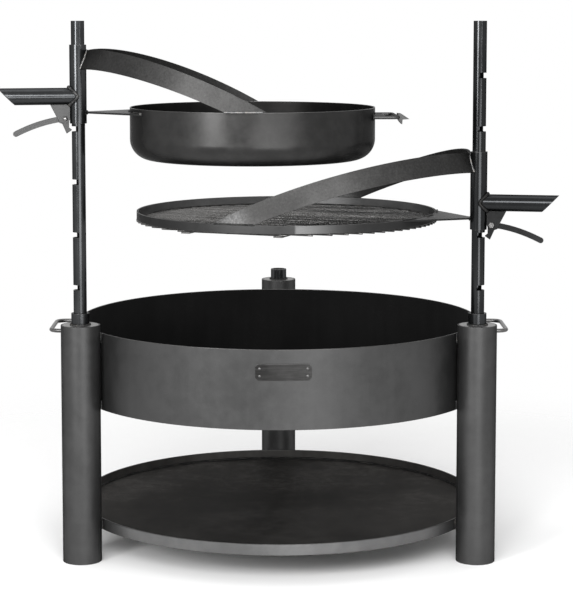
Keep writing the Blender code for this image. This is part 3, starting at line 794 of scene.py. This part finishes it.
def sweep_tree():
    graph = group_tree("bead along a path", {
        "Path": ("Geometry", None), "Radius": ("Float", 0.003), "Sides": ("Int", 12),
        "Spacing": ("Float", 0.001), "Ripple length": ("Float", 0.004), "Ripple": ("Float", 0.0),
        "Unevenness": ("Float", 0.0), "Seed": ("Float", 1.0), "Material": ("Material", None),
    })
    given = graph.node("NodeGroupInput", output="Path")
    curve = graph.node("GeometryNodeMeshToCurve", {"Mesh": given})
    spacing = {"Curve": curve, "Length": given.other("Spacing")}
    curve = graph.node("GeometryNodeResampleCurve", spacing, {"mode": "LENGTH"})
    along = graph.node("GeometryNodeSplineParameter", output="Length")
    phase = along / given.other("Ripple length") * (2 * math.pi)
    wave = phase.maths("SINE", phase)
    place = graph.node("GeometryNodeInputPosition")
    drift = {"Vector": place, "W": given.other("Seed"), "Scale": 160.0, "Detail": 1.0}
    noise = graph.node("ShaderNodeTexNoise", drift, {"noise_dimensions": "4D"})
    swell = wave * given.other("Ripple") + (noise - 0.5) * given.other("Unevenness") + 1
    circle = {"Resolution": given.other("Sides"), "Radius": given.other("Radius")}
    profile = graph.node("GeometryNodeCurvePrimitiveCircle", circle)
    swept = {"Curve": curve, "Profile Curve": profile, "Scale": swell, "Fill Caps": True}
    bead = graph.node("GeometryNodeCurveToMesh", swept)
    bead = graph.node("GeometryNodeSetShadeSmooth", {"Geometry": bead})
    return end_tree(graph, bead, given.other("Material"))


SWEEP = sweep_tree()
print("tree", SWEEP.name, "has", len(SWEEP.nodes), "nodes")


# %% Growing a mesh from paths
def grow(mesh, tree, **values):
    """Runs a tree on a mesh of paths or points, and gives the plain mesh that it makes."""
    holder = bpy.data.objects.new("holder", mesh)
    scene.collection.objects.link(holder)
    modifier = holder.modifiers.new("grown", "NODES")
    modifier.node_group = tree
    identifiers = {
        item.name: item.identifier for item in tree.interface.items_tree
        if item.item_type == "SOCKET" and item.in_out == "INPUT"
    }
    for name, value in values.items():
        modifier[identifiers[name.replace("_", " ")]] = value
    return evaluated(holder)


def path_mesh(paths):
    """One mesh of edges from paths, each a list of points and whether it closes on itself."""
    points, edges = [], []
    for path, closed in paths:
        first = len(points)
        points += [tuple(p) for p in path]
        edges += [(first + i, first + i + 1) for i in range(len(path) - 1)]
        if closed:
            edges.append((len(points) - 1, first))
    mesh = bpy.data.meshes.new("paths")
    mesh.from_pydata(points, edges, [])
    return mesh


print("a tree grows on a mesh of paths or points")

# %% [markdown]
# ## Arms and their own directions
#
# Each arm swings about its pole, so its pieces are placed in the arm's own directions: out from
# the pole towards the pan or the ring, to the side, and up from the sleeve's lower end. The
# packed sleeve gives the axis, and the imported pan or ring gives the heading.

# %% Arm frames
class Arm:
    """Places measured out from a pole, to the side, and up from its sleeve's lower end."""

    def __init__(self, which, head):
        self.sleeve = tube_sizes(f"{which}_sleeve")
        self.head = tube_sizes(head)
        self.pole, self.low = self.sleeve.centre, self.sleeve.low
        across, along = (b - a for a, b in zip(self.pole, self.head.centre))
        self.turn = math.atan2(along, across)
        self.reach = math.dist(self.head.centre, self.pole)

    def at(self, out, side, up, turn=0.0):
        a = self.turn + turn
        x = self.pole[0] + out * math.cos(a) - side * math.sin(a)
        y = self.pole[1] + out * math.sin(a) + side * math.cos(a)
        return Vector((x, y, self.low + up))


ARMS = {"pan": Arm("pan", "pan"), "grill": Arm("grill", "grill_ring")}
for which, arm in ARMS.items():
    print(which, "arm points at", round(math.degrees(arm.turn), 1), "degrees, reach", round(arm.reach, 3))

# %% [markdown]
# ## Handles
#
# The bowl has a handle on each side, and the pan has one that is bent from thinner bar. Their
# ends stop at the wall, where a small weld holds them.

# %% Bent bars
BEND_STEPS = 12
BOWL_HANDLE_BEND = 0.022
PAN_HANDLE_BEND = 0.012
HANDLE_SINK = 0.0004


def bow(near, reach, half, bend):
    """The middle line of a bent bar in plan: out, round, across, round and back."""
    points = [(near, -half)]
    for start, sign in ((-90, -1), (0, 1)):
        for step in range(BEND_STEPS + 1):
            a = math.radians(start + 90 * step / BEND_STEPS)
            points.append((reach - bend + bend * math.cos(a), sign * (half - bend) + bend * math.sin(a)))
    return points + [(near, half)]


def bar_piece(node, points, radius, material):
    mesh = grow(
        path_mesh([(points, False)]), SWEEP, Radius=radius, Sides=20, Spacing=0.002, Material=material
    )
    stand_in(node, "bar", mesh, [material])


for side, sign in (("left", -1), ("right", 1)):
    low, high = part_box(f"bowl_handle_{side}")
    rod = (high.z - low.z) / 2
    half = (high.y - low.y) / 2 - rod
    reach = max(abs(low.x), abs(high.x)) - rod
    near = math.sqrt(BOWL.outer**2 - (half - rod) ** 2) - HANDLE_SINK
    height = (low.z + high.z) / 2
    points = [(sign * x, y, height) for x, y in bow(near, reach, half, BOWL_HANDLE_BEND)]
    bar_piece(f"bowl_handle_{side}", points, rod, FINISHES["bright_rod"])
BOWL_HANDLE = (rod, half, height)
print("bowl handles", round(2 * half * 1000), "mm wide")

# %% The pan's handle
low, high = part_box("pan_handle")
arm = ARMS["pan"]
rod = (high.z - low.z) / 2
pan_handle_up = (low.z + high.z) / 2 - arm.low
out_way = Vector((math.cos(arm.turn), math.sin(arm.turn)))
side_way = Vector((-math.sin(arm.turn), math.cos(arm.turn)))
from_pan = [v.co.xy - Vector(PAN.centre) for v in nodes["pan_handle"].data.vertices]
reach = max(place @ out_way for place in from_pan) - rod
pan_handle_half = max(place @ side_way for place in from_pan) - rod
near = math.sqrt(PAN.outer**2 - (pan_handle_half - rod) ** 2) - HANDLE_SINK
points = [
    arm.at(arm.reach + x, y, pan_handle_up)
    for x, y in bow(near, reach, pan_handle_half, PAN_HANDLE_BEND)
]
bar_piece("pan_handle", points, rod, FINISHES["mill_steel"])
print("pan handle", round(2 * pan_handle_half * 1000), "mm wide")

# %% [markdown]
# ## The grate
#
# The grate is a row of equal rods, each cut to the ring, with two flat bars below them. A line of
# points gives the row, and the rod on each point is stretched to the chord of the circle there,
# so a change of the ring's radius or of the rods' spacing needs no other change.

# %% A finish with streaks along the rods
FAR_SPOT_AT = 0.82
FAR_SPOT_FADE = (0.05, 0.55)
FAR_SPOT_SHARE = 0.55
STREAK_SHARE = 0.35


def drawn_rod(name, dark, light, roughness, turn):
    """Streaks along the rods make each unlike the next. The far end is lighter."""
    finish = Finish(name, 0.85)
    streaks = finish.noise(46, (14, 1, 1), detail=2, turn=turn)
    patches = finish.noise(30, detail=4, rough=0.65)
    grain = finish.noise(900, detail=2)
    tone = (streaks * 0.7 + patches * 0.2 + grain * 0.1).ramp(0.40, 0.62)
    # Lighter towards the far end of the grate.
    far_spot = finish.near(ARMS["grill"].at(FAR_SPOT_AT, 0, 0), *FAR_SPOT_FADE)
    tone = tone * STREAK_SHARE + far_spot * FAR_SPOT_SHARE
    finish.link("Base Color", finish.blend(grey(dark), grey(light, 0.02), tone))
    finish.link("Roughness", roughness + (patches - 0.5) * 0.14 + (grain - 0.5) * 0.1)
    finish.bump(grain * 0.6 + patches * 0.4, 0.12, 0.0004)
    finish.edge_tint(grey(0.3))
    return finish.material


GRATE = drawn_rod("drawn rod", 0.022, 0.200, 0.27, ARMS["grill"].turn)
print("made", GRATE.name)


# %% The tree of the rods
def grate_tree():
    graph = group_tree("rods across a ring", {
        "Ring radius": ("Float", 0.35), "Rod radius": ("Float", 0.0025),
        "Rod spacing": ("Float", 0.025), "Rod count": ("Int", 27), "Material": ("Material", None),
    })
    given = graph.node("NodeGroupInput", output="Ring radius")
    spacing, count = given.other("Rod spacing"), given.other("Rod count")
    start = graph.node("ShaderNodeCombineXYZ", {"Y": (count - 1) * spacing * -0.5})
    step = graph.node("ShaderNodeCombineXYZ", {"Y": spacing})
    row = graph.node("GeometryNodeMeshLine", {"Count": count, "Start Location": start, "Offset": step})
    place = graph.node("GeometryNodeInputPosition")
    across = graph.node("ShaderNodeSeparateXYZ", {"Vector": place}, output="Y")
    half = (given * given - across * across) ** 0.5
    cylinder = {"Vertices": 16, "Radius": given.other("Rod radius"), "Depth": 2.0}
    rod = graph.node("GeometryNodeMeshCylinder", cylinder)
    lying = graph.node("GeometryNodeTransform", {"Geometry": rod, "Rotation": (0, math.pi / 2, 0)})
    scale = graph.node("ShaderNodeCombineXYZ", {"X": half, "Y": 1.0, "Z": 1.0})
    rods = graph.node("GeometryNodeInstanceOnPoints", {"Points": row, "Instance": lying, "Scale": scale})
    return end_tree(graph, rods, given.other("Material"))


GRATE_TREE = grate_tree()
print("tree", GRATE_TREE.name, "has", len(GRATE_TREE.nodes), "nodes")

# %% Rods and cross bars
ROD_PITCH = 0.025
BAR_WIDTH, BAR_THICKNESS = 0.020, 0.004
BAR_OFFSET = 0.110
BAR_WELD = 0.001
arm = ARMS["grill"]
grate_low, grate_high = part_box("grate")
ROD_RADIUS = (grate_high.z - grate_low.z - BAR_THICKNESS + BAR_WELD) / 2
bar_half = math.sqrt(arm.head.outer**2 - (BAR_OFFSET + BAR_WIDTH / 2) ** 2)
bar_drop = ROD_RADIUS - BAR_WELD + BAR_THICKNESS / 2
rod_count = 2 * int(bar_half / ROD_PITCH) + 1
rods = grow(
    bpy.data.meshes.new("empty"), GRATE_TREE, Ring_radius=arm.head.outer, Rod_radius=ROD_RADIUS,
    Rod_spacing=ROD_PITCH, Rod_count=rod_count, Material=GRATE,
)
built = bmesh.new()
built.from_mesh(rods)
for sign in (-1, 1):
    bar = bmesh.ops.create_cube(built, size=1)
    for vertex in bar["verts"]:
        x, y, z = vertex.co
        x = x * BAR_WIDTH + sign * BAR_OFFSET
        vertex.co = (x, y * 2 * bar_half, z * BAR_THICKNESS - bar_drop)
rods_up = grate_high.z - ROD_RADIUS - arm.low
for vertex in built.verts:
    x, y, z = vertex.co
    vertex.co = arm.at(arm.reach + x, y, rods_up + z)
mesh = softened(plain_mesh(built, "grate"), SOFT_EDGE / 2, 2)
add_piece("grate_rods", mesh, "grill_carriage", [GRATE] * SLOTS, ["grate"])
print(rod_count, "rods of", round(2 * ROD_RADIUS * 1000, 1), "mm")

# %% [markdown]
# ## Rivets of the name plate
#
# Four small domed heads hold the blank plate. A tree puts one head on each of the four places.

# %% Rivet heads
def rivet_tree():
    graph = group_tree("rivet heads", {
        "Places": ("Geometry", None), "Radius": ("Float", 0.0032), "Flatness": ("Float", 0.56),
        "Material": ("Material", None),
    })
    given = graph.node("NodeGroupInput", output="Places")
    round_head = {"Segments": 32, "Rings": 16, "Radius": given.other("Radius")}
    head = graph.node("GeometryNodeMeshUVSphere", round_head)
    flat = graph.node("ShaderNodeCombineXYZ", {"X": 1.0, "Y": given.other("Flatness"), "Z": 1.0})
    heads = graph.node("GeometryNodeInstanceOnPoints", {"Points": given, "Instance": head, "Scale": flat})
    heads = graph.node("GeometryNodeSetShadeSmooth", {"Geometry": heads})
    return end_tree(graph, heads, given.other("Material"))


ROD = FINISHES["bright_rod"]
rivet_nodes = [f"plate_rivet_{number}" for number in range(1, 5)]
spots = [sum(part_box(node), Vector((0, 0, 0))) / 2 for node in rivet_nodes]
low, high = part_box(rivet_nodes[0])
half = (high - low) / 2
places = bpy.data.meshes.new("rivet places")
places.from_pydata([(p.x, p.y + half.y, p.z) for p in spots], [], [])
heads = grow(places, rivet_tree(), Radius=half.z, Material=ROD)
add_piece("plate_rivet_heads", heads, "base", [ROD], rivet_nodes)
print(len(spots), "rivets of", round(2 * half.z * 1000, 1), "mm")

# %% [markdown]
# ## Welds
#
# Welds hold the real object together, and they are what makes it look made. Each weld's path
# is worked out from the pieces that it joins: two circles that touch, a ring round a socket,
# the saddle where the grip meets the sleeve, or the edge along which a strip stands on a rim.
# The paths of one body and one kind of bead grow into one piece.

# %% Weld paths on the base
# How far the middle of a bead stands off the face that it lies on
SHALLOW = 0.0006
CLOSE = 0.0008
CLEAR = 0.0010
PROUD = 0.0012

BEAD = 0.0028
BEAD_SEAT = 0.6
STITCH = 0.020
INSET = 0.002
TRAY = tube_sizes("tray_rim")
base_welds = []


def ring_path(centre, radius, height, count, middle=180.0, reach=180.0):
    """A level ring, or an arc with its middle angle and its reach to each side in degrees."""
    closed = reach >= 180
    total = count if closed else count - 1
    angles = [math.radians(middle + reach * (2 * i / total - 1)) for i in range(count)]
    x, y = centre
    return [(x + radius * math.cos(a), y + radius * math.sin(a), height) for a in angles], closed


def valley(first, second, side):
    """The middle of a bead that lies against two upright tubes, on one side of them."""
    start = Vector(first.centre)
    gap = Vector(second.centre) - start
    r1, r2 = (tube.outer + BEAD * BEAD_SEAT for tube in (first, second))
    along = (r1**2 - r2**2 + gap.length**2) / (2 * gap.length)
    aside = math.sqrt(max(r1**2 - along**2, 0))
    unit = gap.normalized()
    return start + unit * along + Vector((-unit.y, unit.x)) * aside * side


for side in ("left", "right", "rear"):
    leg, socket = (tube_sizes(f"{part}_tube_{side}") for part in ("leg", "socket"))
    base_welds.append(ring_path(leg.centre, socket.outer + CLOSE, leg.high + SHALLOW, count=64))
    for sign in (-1, 1):
        x, y = valley(BOWL, leg, sign)
        for low, high in (
            (BOWL.low + INSET, BOWL.low + INSET + STITCH),
            (BOWL.high - INSET - STITCH, BOWL.high - INSET),
            (TRAY.low + INSET, TRAY.high - INSET),
        ):
            base_welds.append(([(x, y, low), (x, y, high)], False))
print(len(base_welds), "welds at the legs")

# %% Welds of floors and handles
for tube, floor_node in ((BOWL, "bowl_floor"), (TRAY, "tray_floor")):
    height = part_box(floor_node)[1].z + PROUD
    base_welds.append(ring_path(tube.centre, tube.inner - PROUD, height, count=240))


def collar(place, out, radius, count=24):
    """A ring round a bar where it meets a wall; out is the direction of the bar."""
    across = out.cross(Vector((0, 0, 1))).normalized()
    up = across.cross(out).normalized()
    angles = [2 * math.pi * i / count for i in range(count)]
    return [place + (across * math.cos(a) + up * math.sin(a)) * radius for a in angles], True


rod, half, height = BOWL_HANDLE
near = math.sqrt(BOWL.outer**2 - half**2) + CLEAR
for x_sign in (-1, 1):
    for y_sign in (-1, 1):
        place = Vector((x_sign * near, y_sign * half, height))
        base_welds.append(collar(place, Vector((x_sign, 0, 0)), rod + CLOSE))


def add_welds(name, paths, body, radius, material, seed):
    mesh = grow(
        path_mesh(paths), SWEEP, Radius=radius, Sides=12, Spacing=0.0009, Ripple_length=0.0034,
        Ripple=0.16, Unevenness=0.5, Seed=seed, Material=material,
    )
    add_piece(name, mesh, body, [material])


add_welds("base_welds", base_welds, "base", BEAD, DULL_WELD, seed=1.0)
print(len(base_welds), "welds on the base")

# %% Paths at the arm strips
LANDING_BAND = 0.0007
FACET = math.radians(4)


def landed_edge(points, arm):
    """The points of a strip on the outer edge of its rim, from the pole outwards."""
    pole, head = Vector(arm.pole), Vector(arm.head.centre)
    edge = arm.head.outer - LANDING_BAND
    outer = [
        p for p in points if abs(p.z - arm.head.high) < LANDING_BAND and (p.xy - head).length > edge
    ]
    return sorted(outer, key=lambda p: (p.xy - pole).length)


def sleeve_seam(points, arm):
    """A path along the upper edge of a strip, where it lies round its sleeve."""
    touching = []
    for p in points:
        away = p.xy - Vector(arm.pole)
        if away.length < arm.sleeve.outer + LANDING_BAND:
            angle = math.atan2(away.y, away.x) - arm.turn
            touching.append(((angle + math.pi) % (2 * math.pi) - math.pi, p.z))
    touching.sort()
    ridge = [(a, z) for a, z in touching if all(abs(b - a) > FACET or y <= z for b, y in touching)]
    reach = arm.sleeve.outer + CLOSE
    return [arm.at(reach * math.cos(a), reach * math.sin(a), z - arm.low) for a, z in ridge]


print("a strip touches its rim or its sleeve within", LANDING_BAND * 1000, "mm")

# %% Paths at the gussets and the grips
GUSSET_HALF = 0.125
STITCH_PLACES = (-0.8, 0, 0.8)
STITCH_HALF = 0.022
STITCH_POINTS = 20
SLEEVE_ARC = 31
ARC_POINTS = 14
GRIP_TURN = math.radians(11)


def gusset_spread(arm):
    """The middle of the gusset's edge, and its reach to each side, in degrees round the head."""
    return math.degrees(arm.turn) + 180, math.degrees(math.asin(GUSSET_HALF / arm.head.outer))


def gusset_paths(low, high, arm):
    """Three stitches along the rim, and an arc round the sleeve below and above the gusset."""
    heading, spread = gusset_spread(arm)
    reach = math.degrees(STITCH_HALF / arm.head.outer)
    edge = (arm.head.centre, arm.head.outer + PROUD, high + CLOSE, STITCH_POINTS)
    paths = [ring_path(*edge, heading + spread * share, reach) for share in STITCH_PLACES]
    radius = arm.sleeve.outer + CLEAR
    facing = math.degrees(arm.turn)
    for height in (low - SHALLOW, high + SHALLOW):
        paths.append(ring_path(arm.pole, radius, height, ARC_POINTS, facing, SLEEVE_ARC))
    return paths


def grip_saddle(which, arm, count=48):
    """The line round the grip where it meets the sleeve."""
    low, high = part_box(f"{which}_grip_tube")
    radius = (high.z - low.z) / 2 + SHALLOW
    rise = (high.z + low.z) / 2 - arm.low
    saddle = []
    for step in range(count):
        a = 2 * math.pi * step / count
        aside = radius * math.sin(a)
        out = math.sqrt(max((arm.sleeve.outer + CLEAR) ** 2 - aside**2, 0)) + SHALLOW
        saddle.append(arm.at(out, aside, rise + radius * math.cos(a), math.pi + GRIP_TURN))
    return saddle, True


print("each gusset has", len(STITCH_PLACES), "stitches and two arcs")

# %% Welds of the arms
GRIP_BEAD = 0.0042
DULL_BEAD = 0.0019
BRIGHT_BEAD = 0.0026
END_PLACE = 0.98
END_REACH = 0.6
END_POINTS = 6
PAN_COLLAR = 0.0048
UNDER_RING = 0.0004

for which, arm in ARMS.items():
    dull, bright = [], []
    for label in ("a", "b"):
        points = [v.co.copy() for v in merged_copy(f"{which}_strip_{label}").vertices]
        outer, seam = landed_edge(points, arm), sleeve_seam(points, arm)
        print(which, label, len(outer), "points on the rim,", len(seam), "at the sleeve")
        if len(outer) > 1:
            landed = bright if which == "pan" else dull
            landed.append(([(p.x, p.y, arm.head.high + CLOSE) for p in outer[::2]], False))
        bright.append((seam, False))
    low, high = (corner.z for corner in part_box(f"{which}_gusset"))
    dull += gusset_paths(low, high, arm)
    if which == "pan":
        heading, spread = gusset_spread(arm)
        radius = arm.head.outer + PROUD
        end = heading + spread * END_PLACE
        bright.append(ring_path(arm.head.centre, radius, high, END_POINTS, end, END_REACH))
        near = arm.reach + math.sqrt(PAN.outer**2 - pan_handle_half**2) + CLEAR
        for sign in (-1, 1):
            place = arm.at(near, sign * pan_handle_half, pan_handle_up)
            dull.append(collar(place, arm.at(1, 0, 0) - arm.at(0, 0, 0), PAN_COLLAR))
    else:
        radius = arm.head.inner - UNDER_RING
        dull.append(ring_path(arm.head.centre, radius, arm.head.low - CLOSE, count=256))
    body = f"{which}_carriage"
    saddle = grip_saddle(which, arm)
    add_welds(f"{which}_grip_weld", [saddle], body, GRIP_BEAD, GRIP_WELDS[which], seed=4.0)
    add_welds(f"{which}_dull_welds", dull, body, DULL_BEAD, DULL_WELD, seed=2.0)
    add_welds(f"{which}_welds", bright, body, BRIGHT_BEAD, WELD, seed=3.0)

# %% [markdown]
# ## Floor, light and background
#
# The photograph is a product shot: a white floor that runs into a white wall, and large soft
# lamps. The world shows white to the camera and in reflections, and gives a little light from all
# around. The main softbox hangs over the camera, and a low one on the right lights the floor far
# in under the tray. A tall strip nearer on the right draws the bright line down each pole, a
# softbox on the left gives the pan its glow, and a broad one hangs over it all. The floor is a disc
# that keeps the shadow and fades out into the white.

# %% Studio
AMBIENT = 0.65
MIDDLE = (0, 0, 0.6)
scene.view_settings.view_transform = "Standard"


def studio_world(ambient):
    world = bpy.data.worlds.new("studio")
    world.use_nodes = True
    graph = Graph(world.node_tree)
    rays = graph.node("ShaderNodeLightPath", output="Is Camera Ray")
    seen = rays.maths("MAXIMUM", rays, rays.other("Is Glossy Ray"))
    seen = seen.maths("MAXIMUM", seen, rays.other("Is Transmission Ray"))
    background = world.node_tree.nodes["Background"]
    background.inputs["Color"].default_value = (1, 1, 1, 1)
    strength = seen.ramp(0, 1, ambient, 1.0)
    world.node_tree.links.new(strength.socket, background.inputs["Strength"])
    return world


def softbox(name, place, aim, size, radiance):
    """An area lamp that looks as bright as radiance times white."""
    lamp = bpy.data.lights.new(name, "AREA")
    lamp.shape = "RECTANGLE"
    lamp.size, lamp.size_y = size
    lamp.energy = radiance * math.pi * size[0] * size[1]
    box = bpy.data.objects.new(name, lamp)
    box.location = place
    box.rotation_euler = (Vector(aim) - Vector(place)).to_track_quat("-Z", "Y").to_euler()
    box.visible_camera = False
    scene.collection.objects.link(box)


scene.world = studio_world(AMBIENT)
softbox("main softbox", (-0.2, -4.2, 2.4), MIDDLE, (3.0, 1.4), radiance=11.8)
softbox("low softbox", (1.0, -3.6, 0.5), (0, 0, 0.4), (1.8, 0.8), radiance=7)
softbox("strip", (1.2, -1.9, 1.45), (0, -0.2, 1.0), (0.06, 1.2), radiance=20)
softbox("left softbox", (-2.1, -3.15, 1.35), (0, 0, 0.95), (0.9, 0.9), radiance=30)
softbox("top softbox", (0, 0.4, 3.6), MIDDLE, (2.4, 2.4), radiance=1.6)
print("world and", len(bpy.data.lights), "softboxes")

# %% Floor
FLOOR_RADIUS = 5.0
FADE = (0.8, 2.0)
built = bmesh.new()
bmesh.ops.create_circle(built, cap_ends=True, radius=FLOOR_RADIUS, segments=64)
floor = bpy.data.objects.new("floor", plain_mesh(built, "floor"))
scene.collection.objects.link(floor)
paint = Finish("studio floor", 0.0)
speckle = paint.noise(3, detail=2)
paint.link("Base Color", paint.blend(grey(0.95), grey(0.97), speckle))
radius = paint.node("ShaderNodeVectorMath", {0: paint.place}, {"operation": "LENGTH"}, "Value")
paint.link("Alpha", radius.ramp(*FADE, 1, 0))
paint.shader.inputs["Roughness"].default_value = 0.9
paint.shader.inputs["Specular IOR Level"].default_value = 0.1
floor.data.materials.append(paint.material)
floor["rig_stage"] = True
print("floor fades out from", FADE[0], "to", FADE[1], "m")

# %% [markdown]
# ## Last steps
#
# Every node that is still shown, or hidden under its replacement, takes the same finish as its
# slot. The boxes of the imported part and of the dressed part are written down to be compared.

# %% Finish
for node, obj in nodes.items():
    for slot in obj.material_slots:
        slot.material = FINISHES[node_slots[node]]
dressed_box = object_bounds()
for axis in range(3):
    grown = [round((b[axis] - a[axis]) * 1000, 2) for a, b in zip(cad_box, dressed_box)]
    print("xyz"[axis], "grew by", grown, "mm")
